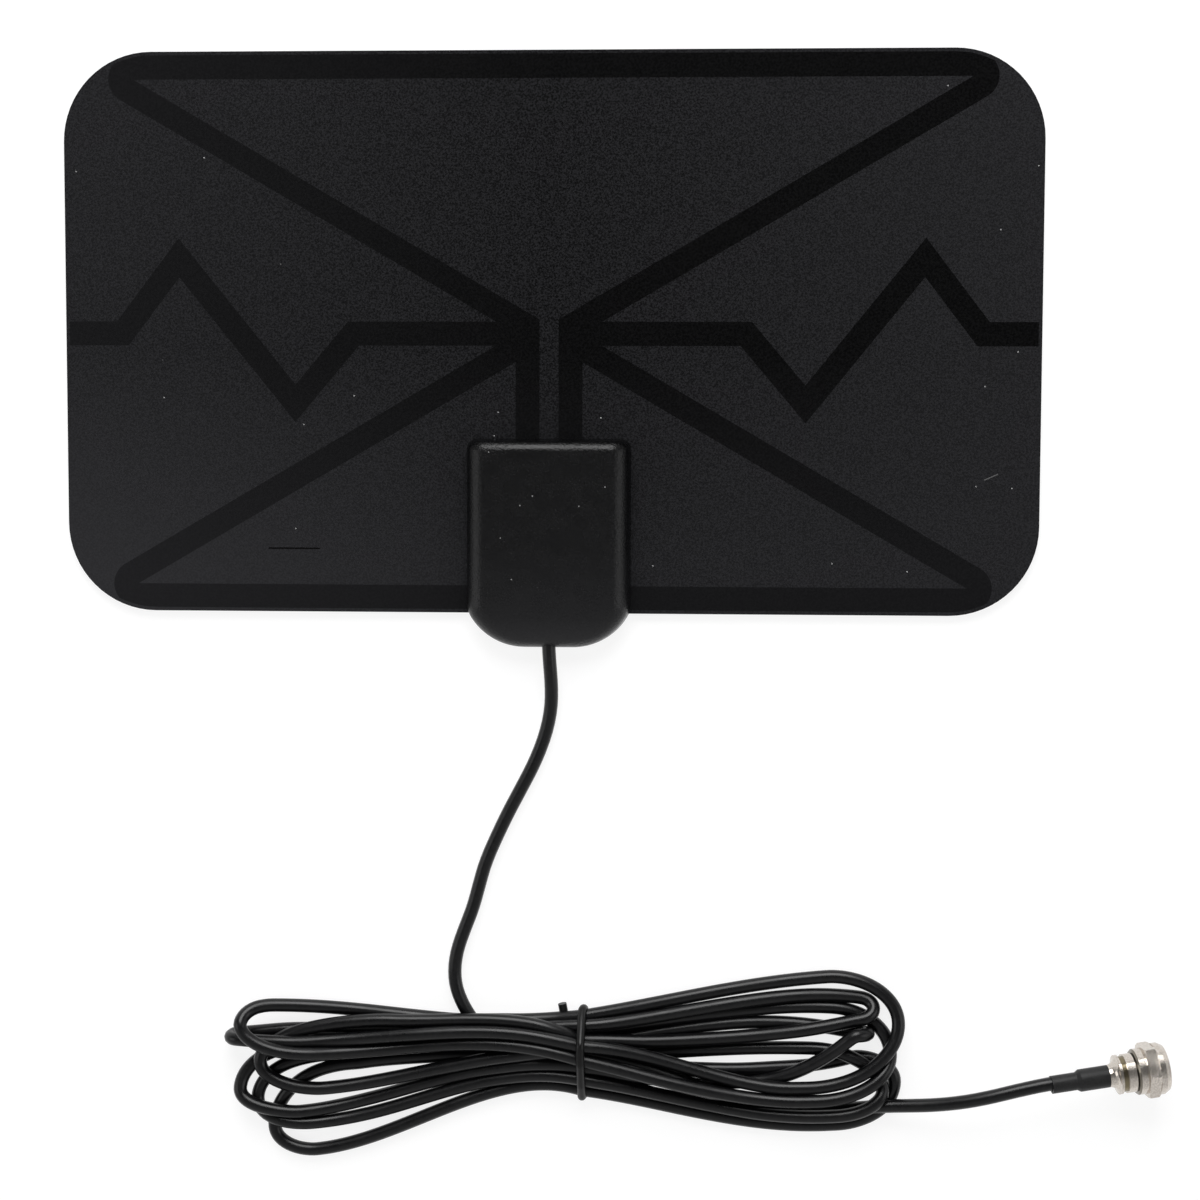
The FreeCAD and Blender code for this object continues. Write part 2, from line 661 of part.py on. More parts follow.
def coupling_nut():
    """A round nut with a hexagonal band round its middle and an inner lip that holds it on."""
    corners = [Vec(nut_hex_s, nut_corner_r * math.cos(math.radians(60 * k)),
                   nut_corner_r * math.sin(math.radians(60 * k))) for k in range(6)]
    hexagon = Part.Face(Part.makePolygon(corners + corners[:1])).extrude(Vec(NUT_HEX_L, 0, 0))
    chamfer = NUT_EDGE_CHAMFER
    turning = turned([
        (nut_hex_s, 0), (nut_hex_s, nut_corner_r - chamfer), (nut_hex_s + chamfer, nut_corner_r),
        (nut_front_s - chamfer, nut_corner_r), (nut_front_s, nut_corner_r - chamfer), (nut_front_s, 0),
    ])
    rounds = turned([
        (nut_s, 0), (nut_s, NUT_REAR_R - chamfer), (nut_s + chamfer, NUT_REAR_R),
        (nut_front_s, NUT_REAR_R), (nut_front_s, NUT_FRONT_R),
        (nut_end_s - NUT_NOSE_L, NUT_FRONT_R), (nut_end_s, NUT_FRONT_R - NUT_NOSE_DROP), (nut_end_s, 0),
    ])
    lip_r = PLUG_NECK_R + NUT_RUNNING_GAP
    hollow = turned([
        (nut_s, 0), (nut_s, lip_r), (nut_s + NUT_LIP_T, lip_r), (nut_s + NUT_LIP_T, NUT_BORE_R),
        (nut_end_s - NUT_MOUTH_CHAMFER, NUT_BORE_R), (nut_end_s, NUT_BORE_R + NUT_MOUTH_CHAMFER), (nut_end_s, 0),
    ])
    nut = hexagon.common(turning).fuse(rounds).cut(hollow).removeSplitter()
    nut.rotate(Vec(), Vec(1, 0, 0), NUT_ROLL)
    return nut


def placed(shape):
    """A piece of the plug, moved from the plug's own axis to where the plug lies."""
    shape.Placement = plug_place.multiply(shape.Placement)
    return shape


def build():
    foil = radiating_element()
    parts = {
        "panel_sheet": panel_sheet(foil),
        "radiating_element": foil,
        "housing_front_cover": housing_front_cover(),
        "housing_rear_cover": housing_rear_cover(),
        "matching_board": matching_board(),
        "left_feed_rivet": feed_rivet(-1),
        "right_feed_rivet": feed_rivet(1),
        "balun_core": balun_core(),
        "balun_primary_winding": balun_winding(
            "balun_primary_winding", 1, WINDING_LEVEL, feed_x, rivet_y - RIVET_HEAD_R),
        "balun_secondary_winding": balun_winding(
            "balun_secondary_winding", -1, -WINDING_LEVEL, PIGTAIL_PAD_X, pad_y + PAD_INSET / 2),
        "cord_drop": cord_drop(),
        "cord_hank": cord_hank(),
        "hank_tie": hank_tie(),
        "cord_tail": cord_tail(),
        "heat_shrink_sleeve": placed(heat_shrink_sleeve()),
        "crimp_ferrule": placed(crimp_ferrule()),
        "connector_body": placed(connector_body()),
        "connector_insulator": placed(connector_insulator()),
        "centre_pin": placed(centre_pin()),
        "coupling_nut": placed(coupling_nut()),
    }
    parts.update(coax_end_pieces())
    return parts


def main():
    os.makedirs("parts", exist_ok=True)
    for name, shape in build().items():
        print(name, "solids", len(shape.Solids), "valid", shape.isValid(), "volume", round(shape.Volume, 2))
        shape.exportStep(os.path.join("parts", name + ".step"))
    print("plug axis", [round(c, 6) for c in plug_place.Rotation.multVec(Vec(1, 0, 0))])
    print("nut middle", [round(c, 4) for c in on_plug((nut_s + nut_end_s) / 2)])
    print("pin free middle", [round(c, 4) for c in on_plug((pin_root_end_s + pin_end_s - PIN_R / 2) / 2)],
          "free length", round(pin_end_s - PIN_R / 2 - pin_root_end_s, 3))


main()
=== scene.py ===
import json
import math

import bpy
import numpy as np
from mathutils import Matrix, Vector


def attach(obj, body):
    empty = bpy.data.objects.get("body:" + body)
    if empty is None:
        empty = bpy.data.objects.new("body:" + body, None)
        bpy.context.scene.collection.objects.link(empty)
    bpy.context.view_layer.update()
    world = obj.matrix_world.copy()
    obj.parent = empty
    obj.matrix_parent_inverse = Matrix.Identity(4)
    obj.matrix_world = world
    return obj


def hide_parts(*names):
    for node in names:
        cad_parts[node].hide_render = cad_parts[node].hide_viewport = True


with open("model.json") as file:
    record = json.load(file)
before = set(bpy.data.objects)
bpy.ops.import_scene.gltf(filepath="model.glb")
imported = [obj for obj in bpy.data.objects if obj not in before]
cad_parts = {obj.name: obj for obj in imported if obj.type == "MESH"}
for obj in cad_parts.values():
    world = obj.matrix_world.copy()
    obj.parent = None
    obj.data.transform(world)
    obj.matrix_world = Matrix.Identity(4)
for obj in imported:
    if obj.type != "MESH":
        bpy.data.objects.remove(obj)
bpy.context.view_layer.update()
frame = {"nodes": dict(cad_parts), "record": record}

MM = 0.001
NODES = frame["nodes"]


def add_object(name, data):
    made = bpy.data.objects.new(name, data)
    bpy.context.scene.collection.objects.link(made)
    return made


# Camera: almost straight above the sheet, as in the photograph

CAMERA_TARGET = (11.64, -56.04, 2.1)
CAMERA_BACK = (0.05414, 0.07441, 1.0)
CAMERA_UP = (-0.00295, 1.0, 0.0)
CAMERA_DISTANCE_M = 0.54346
LENS = 72.0
SENSOR_WIDTH = 36.0


def add_camera():
    target = Vector(CAMERA_TARGET) * MM
    back = Vector(CAMERA_BACK).normalized()
    right = Vector(CAMERA_UP).cross(back).normalized()
    turn = Matrix((right, back.cross(right), back)).transposed().to_4x4()
    data = bpy.data.cameras.new("camera")
    data.lens = LENS
    data.sensor_width = SENSOR_WIDTH
    camera = add_object("camera", data)
    camera.matrix_world = Matrix.Translation(target + back * CAMERA_DISTANCE_M) @ turn
    bpy.context.scene.camera = camera


add_camera()


# Cord: in millimetres until it is made. It leaves the box, lies in a tied hank and ends at the plug.

CORD_D = 3.0
DROP_ROUTE = [
    (0.0, -57.5, 3.95), (0.0, -63.0, 3.95), (0.25, -69.0, 3.9), (0.75, -75.5, 3.0),
    (0.6, -81.0, 2.0), (-0.7, -87.0, 1.6), (-3.15, -93.3, 1.5), (-6.1, -99.0, 1.5),
    (-9.3, -105.0, 1.5), (-12.3, -111.4, 1.5), (-14.6, -116.8, 1.5), (-16.1, -122.4, 1.5),
    (-17.4, -127.2, 1.5), (-19.3, -132.0, 1.5), (-21.0, -136.8, 1.5), (-21.7, -141.2, 1.5),
    (-21.4, -145.4, 1.5), (-19.9, -149.4, 1.5), (-17.7, -153.0, 1.5), (-15.5, -155.7, 1.5),
    (-12.6, -157.8, 1.5), (-9.4, -159.6, 1.5), (-6.0, -161.1, 1.6), (-2.5, -162.3, 1.8),
    (1.0, -163.1, 2.1), (4.5, -163.5, 2.4),
]
TAIL_ROUTE = [
    (66.0, -172.6, 2.4), (76.0, -171.2, 3.4), (82.0, -170.6, 4.9), (88.0, -169.9, 6.5),
    (94.0, -168.7, 8.2), (100.0, -167.1, 9.4), (107.0, -165.0, 10.0), (114.3, -163.3, 10.0),
    (120.4, -162.9, 9.1), (126.5, -162.1, 8.2),
]

# The hank's strands lie in three layers, and a tie holds them together at TIE_X.
TIE_X = 8.1
LOW, MID, TOP = 1.6, 4.2, 6.8

# Place of each strand under the tie, (y, z), in the order in which the cord runs
TIE_LANES = [
    (-165.6, LOW), (-168.9, LOW), (-162.2, LOW), (-165.4, MID), (-158.8, LOW), (-163.0, MID),
    (-155.5, LOW), (-160.6, TOP), (-152.3, LOW), (-157.2, TOP), (-153.4, MID), (-156.6, MID),
    (-159.8, MID),
]

# Loops in the same order, right and left by turns: (first leg, tip, second leg). A leg is (y, z) at
# one third and two thirds of its way out from the tie, and (x, y, z) at the shoulder of its fold.
# The tip of the fold is (x, y, z).
LOOPS = [
    (((-164.2, LOW), (-163.8, LOW), (70.0, -160.2, LOW)), (79.2, -165.5, 2.4),
     ((-172.4, LOW), (-175.6, LOW), (64.5, -176.2, LOW))),
    (((-170.0, LOW), (-178.3, LOW), (-55.0, -184.4, LOW)), (-63.6, -179.0, LOW),
     ((-161.6, LOW), (-161.9, LOW), (-44.0, -163.6, LOW))),
    (((-160.2, LOW), (-158.9, LOW), (61.0, -158.3, LOW)), (76.8, -167.9, 3.2),
     ((-169.6, MID), (-172.9, MID), (64.0, -173.5, MID))),
    (((-166.8, MID), (-173.6, 2.4), (-56.0, -177.6, 2.2)), (-67.5, -172.2, 2.0),
     ((-158.6, LOW), (-159.0, LOW), (-50.0, -161.9, LOW))),
    (((-154.3, LOW), (-152.6, LOW), (69.6, -154.6, LOW)), (73.2, -154.3, 4.2),
     ((-165.6, 2.2), (-165.6, 2.8), (69.8, -154.2, 7.0))),
    (((-164.2, MID), (-170.6, 2.6), (-58.5, -175.2, 3.4)), (-71.3, -169.8, 3.4),
     ((-156.0, LOW), (-156.6, LOW), (-56.8, -160.2, LOW))),
    (((-153.0, LOW), (-149.8, LOW), (63.5, -148.6, LOW)), (78.1, -159.0, 2.4),
     ((-164.9, TOP), (-168.6, TOP), (60.0, -169.6, TOP))),
    (((-157.6, 7.2), (-159.3, 5.7), (-54.0, -160.2, 7.6)), (-70.4, -153.4, 8.0),
     ((-153.5, LOW), (-151.6, 2.7), (-64.6, -149.9, 5.2))),
    (((-147.9, MID), (-144.2, MID), (65.0, -141.7, MID)), (80.0, -152.0, 5.2),
     ((-160.4, TOP), (-165.0, TOP), (58.0, -166.8, TOP))),
    (((-154.6, TOP), (-157.1, 5.6), (-71.0, -157.7, 6.2)), (-73.4, -157.5, 3.9),
     ((-154.9, 3.6), (-155.6, 2.4), (-71.0, -157.2, LOW))),
    (((-150.4, MID), (-147.1, 3.6), (71.0, -146.6, 2.4)), (74.4, -148.9, 4.0),
     ((-156.7, MID), (-155.0, 5.0), (70.5, -151.2, 5.6))),
    (((-152.6, 5.0), (-152.8, 4.6), (-37.0, -153.1, 4.4)), (-66.5, -163.3, 3.8),
     ((-161.4, MID), (-166.0, MID), (-53.0, -169.4, 4.4))),
]

# The last strand's way out from the tie to where the tail begins
LAST_LEG = ((-165.0, 3.1), (-170.8, 2.3), TAIL_ROUTE[0])

# Points of the turns: how far apart they are, and how a fold's length goes with its two half axes
CORD_SPACING = 2.5
FOLD_LENGTH = 0.8
FOLD_LEAST = 3

# Settling of the hank, in each round: the share of an overlap by which two strands part, the share of
# the way back to its own place in plan that a point goes, and how far it sinks
SETTLE_ROUNDS = 260
PUSH, PULL, SINK = 0.3, 0.06, 0.01
SAME_STRAND = int(4 * CORD_D / CORD_SPACING)

# The strands rise over the foot of the tie, by this much and over about this much to each side.
TIE_LIFT, TIE_RISE = 1.0, 4.0


def leg_points(lane, leg):
    """Points from the tie out to the shoulder of the fold, without the two ends."""
    third, two_thirds, shoulder = leg
    known = np.array([lane, third, two_thirds, shoulder[1:]])
    steps = round(abs(shoulder[0] - TIE_X) / CORD_SPACING)
    points = []
    for step in range(1, steps):
        u = step / steps
        # The cubic through the four known places
        weights = np.array([
            -4.5 * (u - 1 / 3) * (u - 2 / 3) * (u - 1),
            13.5 * u * (u - 2 / 3) * (u - 1),
            -13.5 * u * (u - 1 / 3) * (u - 1),
            4.5 * u * (u - 1 / 3) * (u - 2 / 3),
        ])
        y, z = weights @ known
        points.append((TIE_X + (shoulder[0] - TIE_X) * u, y, z))
    return points


def quarter_points(shoulder, tip):
    """Points of a quarter of an ellipse from the shoulder of a fold to its tip, without the tip."""
    across, reach = np.array(tip[:2]) - shoulder[:2]
    steps = max(FOLD_LEAST, round(FOLD_LENGTH * (abs(across) + abs(reach)) / CORD_SPACING))
    points = []
    for step in range(steps):
        t = math.pi / 2 * step / steps
        x = shoulder[0] + (tip[0] - shoulder[0]) * math.sin(t)
        y, z = (tip[i] + (shoulder[i] - tip[i]) * math.cos(t) for i in (1, 2))
        points.append((x, y, z))
    return points


def hank_points():
    """The cord's line from its first pass under the tie to the start of the tail."""
    points = []
    for i, (first, tip, second) in enumerate(LOOPS):
        points.append((TIE_X, *TIE_LANES[i]))
        points += leg_points(TIE_LANES[i], first)
        points += quarter_points(first[2], tip)
        points.append(tip)
        points += reversed(quarter_points(second[2], tip))
        points += reversed(leg_points(TIE_LANES[i + 1], second))
    points.append((TIE_X, *TIE_LANES[-1]))
    points += leg_points(TIE_LANES[-1], LAST_LEG)
    return points


def settle(before, hank, after):
    """Lets the hank's strands push each other apart until they lie on one another and on the floor."""
    line = np.array(before + hank + after)
    rest = line.copy()
    order = np.arange(len(line))
    apart = np.abs(order[:, None] - order[None, :]) > SAME_STRAND
    free = ((order >= len(before)) & (order < len(before) + len(hank)))[:, None]
    floor = CORD_D / 2 + TIE_LIFT * np.exp(-((rest[:, 0] - TIE_X) / TIE_RISE) ** 2) * free[:, 0]
    for _ in range(SETTLE_ROUNDS):
        away = line[:, None, :] - line[None, :, :]
        gap = np.sqrt((away ** 2).sum(axis=2)) + 1e-9
        push = np.where(apart, np.maximum(CORD_D - gap, 0), 0)
        shift = (away / gap[:, :, None] * push[:, :, None]).sum(axis=1) * PUSH
        shift[:, :2] += PULL * (rest - line)[:, :2]
        shift[:, 2] -= SINK
        moved = line + np.where(free, shift, 0) - rest
        smooth = moved.copy()
        smooth[1:-1] = (moved[:-2] + 2 * moved[1:-1] + moved[2:]) / 4
        line = np.where(free, rest + smooth, rest)
        line[:, 2] = np.maximum(line[:, 2], floor)
    return line


def add_spline(curve, line, closed=False):
    """A smooth line in the curve, with these places in millimetres as its control points."""
    spline = curve.splines.new("NURBS")
    spline.points.add(len(line) - 1)
    for point, place in zip(spline.points, line):
        point.co = (*(c * MM for c in place), 1.0)
    spline.use_cyclic_u = closed
    spline.order_u = 3
    spline.use_endpoint_u = not closed
    spline.use_smooth = True


def tube(name, radius):
    """A round cord that as yet has no line."""
    data = bpy.data.curves.new(name, "CURVE")
    data.dimensions = "3D"
    data.bevel_depth = radius * MM
    data.bevel_resolution = 4
    data.resolution_u = 3
    data.use_fill_caps = True
    return add_object(name, data)


# The bevel's flats lie inside its circle, so the circle is a little larger than the cord.
BEVEL_FULLNESS = 1.03

cord_line = settle(DROP_ROUTE, hank_points(), TAIL_ROUTE)
cord = tube("cord", BEVEL_FULLNESS * CORD_D / 2)
add_spline(cord.data, cord_line.tolist())


# Tie: a thin band round the strands, whose cut end sticks out from under them

TIE_R = 1.0
TIE_FOOT = -170.1
TIE_STEPS = 48
TIE_NEAR = 2.0
TIE_LEAN = 0.3
TIE_REACH = CORD_D / 2 + TIE_R * 0.3
TIE_END = [(3.7, -152.2, 0.9), (3.5, -151.0, 0.9), (3.3, -150.0, 0.95), (3.15, -149.2, 1.0)]


def tie_line():
    """A band drawn tight round the strands at TIE_X: on each side it lies on the outermost one."""
    near = cord_line[np.abs(cord_line[:, 0] - TIE_X) < TIE_NEAR]
    points = []
    for step in range(TIE_STEPS):
        t = 2 * math.pi * step / TIE_STEPS
        c, s = math.cos(t), math.sin(t)
        _, y, z = near[np.argmax(near[:, 1] * c + near[:, 2] * s)]
        points.append((
            TIE_X - TIE_LEAN * s, max(y + TIE_REACH * c, TIE_FOOT), max(z + TIE_REACH * s, TIE_R)))
    return points


tie = tube("tie", TIE_R)
add_spline(tie.data, tie_line(), closed=True)
add_spline(tie.data, TIE_END)


# Materials: helpers

def new_material(name):
    material = bpy.data.materials.new(name)
    material.use_nodes = True
    return material, material.node_tree, material.node_tree.nodes["Principled BSDF"]


def node(tree, kind, **settings):
    made = tree.nodes.new(kind)
    for key, value in settings.items():
        if key in made.inputs:
            made.inputs[key].default_value = value
        else:
            setattr(made, key, value)
    return made


def coordinates(tree):
    return node(tree, "ShaderNodeTexCoord").outputs["Object"]


def axis(tree, which):
    made = node(tree, "ShaderNodeSeparateXYZ")
    tree.links.new(coordinates(tree), made.inputs[0])
    return made.outputs[which]


def noise(tree, size, detail=2.0):
    """Mottling whose patches are about size millimetres across."""
    made = node(tree, "ShaderNodeTexNoise", Scale=1 / (size * MM), Detail=detail)
    tree.links.new(coordinates(tree), made.inputs["Vector"])
    return made.outputs["Fac"]


def grey(level):
    return (level, level, level)


def ramp(tree, value, stops):
    """Colours by value: (place, colour) pairs."""
    made = node(tree, "ShaderNodeValToRGB")
    elements = made.color_ramp.elements
    elements[0].position, elements[0].color = stops[0][0], (*stops[0][1], 1)
    elements[1].position, elements[1].color = stops[-1][0], (*stops[-1][1], 1)
    for place, colour in stops[1:-1]:
        elements.new(place).color = (*colour, 1)
    tree.links.new(value, made.inputs["Fac"])
    return made.outputs["Color"]


def grey_ramp(tree, value, stops):
    """Greys by value: (place, level) pairs."""
    return ramp(tree, value, [(place, grey(level)) for place, level in stops])


def mix(tree, base, over, share):
    """base with over laid on it where share is 1."""
    made = node(tree, "ShaderNodeMix", data_type="RGBA")
    for socket, value in (("Factor", share), ("A", base), ("B", over)):
        target = next(i for i in made.inputs if i.name == socket and i.enabled)
        if isinstance(value, tuple):
            target.default_value = (*value, 1)
        else:
            tree.links.new(value, target)
    return next(o for o in made.outputs if o.enabled)


def math_node(tree, operation, first, second):
    made = node(tree, "ShaderNodeMath", operation=operation)
    for socket, value in zip(made.inputs, (first, second)):
        if isinstance(value, (int, float)):
            socket.default_value = value
        else:
            tree.links.new(value, socket)
    return made.outputs[0]


def between(tree, value, low, high):
    """1 where value is between low and high."""
    made = math_node(tree, "COMPARE", value, (low + high) / 2)
    made.node.inputs[2].default_value = (high - low) / 2
    return made


def clamped(tree, value, slope, offset):
    """slope * value + offset, held between 0 and 1."""
    line = math_node(tree, "ADD", math_node(tree, "MULTIPLY", value, slope), offset)
    return math_node(tree, "MINIMUM", math_node(tree, "MAXIMUM", line, 0.0), 1.0)


def dust(tree, cell, radius, share):
    """1 in small specks: one in each cell of that many millimetres, in a share of the cells."""
    made = node(tree, "ShaderNodeTexVoronoi", Scale=1 / (cell * MM))
    tree.links.new(coordinates(tree), made.inputs["Vector"])
    near = math_node(tree, "LESS_THAN", made.outputs["Distance"], radius / cell)
    chosen = node(tree, "ShaderNodeSeparateColor")
    tree.links.new(made.outputs["Color"], chosen.inputs[0])
    return math_node(tree, "MULTIPLY", near, math_node(tree, "LESS_THAN", chosen.outputs[0], share))


def spots(tree, places, radius):
    """1 in round specks of that radius at the places (x, y), in millimetres."""
    flat = node(tree, "ShaderNodeVectorMath", operation="MULTIPLY")
    flat.inputs[1].default_value = (1, 1, 0)
    tree.links.new(coordinates(tree), flat.inputs[0])
    total = 0.0
    for x, y in places:
        away = node(tree, "ShaderNodeVectorMath", operation="DISTANCE")
        away.inputs[1].default_value = (x * MM, y * MM, 0)
        tree.links.new(flat.outputs[0], away.inputs[0])
        spot = math_node(tree, "LESS_THAN", away.outputs["Value"], radius * MM)
        total = math_node(tree, "MAXIMUM", total, spot)
    return total


def stroke(tree, start, end, width):
    """1 along a straight mark between two places on the sheet, in millimetres."""
    length = math.dist(start, end)
    along_x, along_y = (end[0] - start[0]) / length, (end[1] - start[1]) / length
    x = math_node(tree, "SUBTRACT", axis(tree, 0), start[0] * MM)
    y = math_node(tree, "SUBTRACT", axis(tree, 1), start[1] * MM)
    run = math_node(tree, "ADD", math_node(tree, "MULTIPLY", x, along_x),
                    math_node(tree, "MULTIPLY", y, along_y))
    off = math_node(tree, "SUBTRACT", math_node(tree, "MULTIPLY", y, along_x),
                    math_node(tree, "MULTIPLY", x, along_y))
    inside = between(tree, run, 0.0, length * MM)
    return math_node(tree, "MULTIPLY", inside, between(tree, off, -width / 2 * MM, width / 2 * MM))


def station(tree, base, direction):
    """How far along a line a place is, in millimetres."""
    away = node(tree, "ShaderNodeVectorMath", operation="SUBTRACT")
    away.inputs[1].default_value = [c * MM for c in base]
    tree.links.new(coordinates(tree), away.inputs[0])
    along = node(tree, "ShaderNodeVectorMath", operation="DOT_PRODUCT")
    along.inputs[1].default_value = [c / MM for c in direction]
    tree.links.new(away.outputs[0], along.inputs[0])
    return along.outputs["Value"]


# Grain: where its dark and light colours begin, how much larger the patches of uneven gloss are, how
# uneven the gloss is, and the depth in millimetres of a texture whose bump is 1
GRAIN_DARK, GRAIN_LIGHT = 0.38, 0.62
GLOSS_DULL, GLOSS_BRIGHT = 0.3, 0.7
GLOSS_PATCH = 9
GLOSS_UNEVEN = 0.05
GRAIN_DEPTH = 0.05


def grained(name, dark, light, grain, rough, bump, metallic=0.0, specular=0.5):
    """A surface with a fine grain: mottled colour, uneven gloss and a shallow texture."""
    material, tree, shader = new_material(name)
    fine = noise(tree, grain, 3.0)
    colour = ramp(tree, fine, [(GRAIN_DARK, dark), (GRAIN_LIGHT, light)])
    tree.links.new(colour, shader.inputs["Base Color"])
    gloss = grey_ramp(tree, noise(tree, grain * GLOSS_PATCH), [
        (GLOSS_DULL, rough - GLOSS_UNEVEN), (GLOSS_BRIGHT, rough + GLOSS_UNEVEN)])
    tree.links.new(gloss, shader.inputs["Roughness"])
    relief = node(tree, "ShaderNodeBump", Strength=1.0, Distance=GRAIN_DEPTH * bump * MM)
    tree.links.new(fine, relief.inputs["Height"])
    tree.links.new(relief.outputs["Normal"], shader.inputs["Normal"])
    shader.inputs["Metallic"].default_value = metallic
    shader.inputs["Specular IOR Level"].default_value = specular
    return material, tree, shader, colour


# Materials: the sheet and its foil. Both grow paler over these distances from the middle.

PALE_COLOUR = (0.03, 0.03, 0.0325)
PALE_ACROSS, PALE_DOWN = 105, 50


def paling(tree, sides=0.0, left=0.0, lower=0.0, corner=0.0):
    """How much paler a surface is, from its share at both sides, the left, the lower edge and the lower
    left.
    """
    x, y = axis(tree, 0), axis(tree, 1)
    leftward = clamped(tree, x, -1 / (PALE_ACROSS * MM), 0.0)
    downward = clamped(tree, y, -1 / (PALE_DOWN * MM), 0.0)
    from_right = clamped(tree, x, -0.5 / (PALE_ACROSS * MM), 0.5)
    towards_corner = math_node(tree, "MULTIPLY", from_right, downward)
    total = math_node(tree, "MULTIPLY", math_node(tree, "ABSOLUTE", x, 0.0), sides / (PALE_ACROSS * MM))
    for share, part in ((left, leftward), (lower, downward), (corner, towards_corner)):
        total = math_node(tree, "ADD", total, math_node(tree, "MULTIPLY", part, share))
    return total


# Specks and marks that the photograph shows on the sheet and the box, (x, y) in millimetres
SPECK_R, BOX_SPECK_R = 0.16, 0.14
SPECKS = [
    (-78.0, 43.3), (-107.3, 40.3), (-87.7, -10.6), (-44.2, -10.1), (-55.7, -16.6), (-81.4, -40.8),
    (-57.7, -40.2), (-75.7, -56.1), (88.4, 58.6), (93.5, 57.0), (108.6, 41.0), (100.5, 27.0),
    (97.5, -7.7), (104.7, 0.0), (71.0, -38.9), (63.9, -47.5), (80.7, -49.2), (95.8, -30.0),
    (103.8, -30.4), (-7.3, -13.3), (-11.5, -13.7), (11.7, -14.9), (2.8, -13.4), (23.6, -48.2),
    (-12.4, -19.0),
]
BOX_SPECKS = [
    (-13.0, -22.6), (13.0, -30.3), (-3.2, -32.4), (-6.0, -34.5), (7.2, -34.6), (-10.4, -41.8),
    (-7.9, -51.1),
]
SCRATCH, SCRATCH_WIDTH = ((-64.0, -44.7), (-52.2, -44.7)), 0.35
SCUFF, SCUFF_WIDTH = ((97.6, -28.6), (100.7, -27.2)), 0.25


def sheet_plastic():
    """Matte grained sheet, paler at its sides and lower left, with dust, specks, a scratch and a scuff."""
    material, tree, shader, colour = grained(
        "sheet_plastic", dark=(0.001, 0.001, 0.0012), light=(0.0125, 0.0125, 0.0138),
        grain=0.4, rough=0.6, bump=0.35, specular=0.045)
    colour = mix(tree, colour, PALE_COLOUR, paling(tree, sides=0.22, lower=0.08, corner=0.32))
    colour = mix(tree, colour, grey(0.10), dust(tree, cell=9.0, radius=SPECK_R, share=0.25))
    colour = mix(tree, colour, grey(0.25), spots(tree, SPECKS, SPECK_R))
    colour = mix(tree, colour, grey(0.001), stroke(tree, *SCRATCH, SCRATCH_WIDTH))
    colour = mix(tree, colour, grey(0.08), stroke(tree, *SCUFF, SCUFF_WIDTH))
    tree.links.new(colour, shader.inputs["Base Color"])
    return material


def foil_black():
    """Matte black foil, greyer towards the left and the lower edge."""
    material, tree, shader, colour = grained(
        "foil_black", dark=(0.0004, 0.0004, 0.0005), light=(0.0028, 0.0028, 0.003),
        grain=0.5, rough=0.7, bump=0.1, specular=0.035)
    colour = mix(tree, colour, PALE_COLOUR, paling(tree, left=0.17, lower=0.16))
    tree.links.new(colour, shader.inputs["Base Color"])
    return material


# Materials: the box, whose foot is at this Y, and whose painted light, a paler grey at the foot, fades out
# over this length up from it

BOX_FOOT, BOX_FADE = -66, 44
BOX_PAINTED_LIGHT = (0.018, 0.018, 0.0196)
BOX_PAINTED_LIGHT_BY_HEIGHT = [(0.0, 0.85), (0.14, 0.36), (0.5, 0.08), (1.0, 0.0)]


def housing_plastic():
    """Satin spark texture with painted light, paler towards the foot of the box, and specks of dust."""
    material, tree, shader, colour = grained(
        "housing_plastic", dark=(0.0002, 0.0002, 0.0003), light=(0.0034, 0.0034, 0.0038),
        grain=0.45, rough=0.27, bump=2.6, specular=0.24)
    up = math_node(tree, "DIVIDE", math_node(tree, "SUBTRACT", axis(tree, 1), BOX_FOOT * MM), BOX_FADE * MM)
    # painted light: a paler grey at the foot stands in for light reflected on the foot's roll-off
    colour = mix(tree, colour, BOX_PAINTED_LIGHT, grey_ramp(tree, up, BOX_PAINTED_LIGHT_BY_HEIGHT))
    colour = mix(tree, colour, grey(0.22), spots(tree, BOX_SPECKS, BOX_SPECK_R))
    tree.links.new(colour, shader.inputs["Base Color"])
    return material


def cord_jacket():
    """Satin black jacket with a few light specks on it."""
    material, tree, shader, colour = grained(
        "cord_jacket", dark=(0.0015, 0.0015, 0.0018), light=(0.004, 0.004, 0.0045),
        grain=0.8, rough=0.3, bump=0.08, specular=0.3)
    colour = mix(tree, colour, grey(0.2), dust(tree, cell=8.0, radius=0.16, share=0.2))
    tree.links.new(colour, shader.inputs["Base Color"])
    return material


# Materials: the plug. Its axis starts at the back of its flange, and places along it are in millimetres.

PLUG_BASE = (128.4, -161.8, 7.83)
PLUG_AXIS = (0.980328, 0.130804, -0.147809)
GROOVE, GROOVE_OLIVE = (0.65, 1.75), (0.20, 0.17, 0.11)
# The darker line where the nut begins is painted shade.
NUT_EDGE, NUT_EDGE_PAINTED_SHADE = (3.7, 4.4), (0.20, 0.18, 0.15)


def nickel():
    """Warm satin plate, olive-brown in the groove of the plug's body, with painted shade in a line where
    the nut begins.
    """
    material, tree, shader, colour = grained(
        "nickel", dark=(0.53, 0.485, 0.435), light=(0.65, 0.60, 0.545),
        grain=0.35, rough=0.2, bump=0.1, metallic=1.0)
    place = station(tree, PLUG_BASE, PLUG_AXIS)
    colour = mix(tree, colour, GROOVE_OLIVE, between(tree, place, *GROOVE))
    # painted shade: a darker line where the nut begins
    colour = mix(tree, colour, NUT_EDGE_PAINTED_SHADE, between(tree, place, *NUT_EDGE))
    tree.links.new(colour, shader.inputs["Base Color"])
    return material


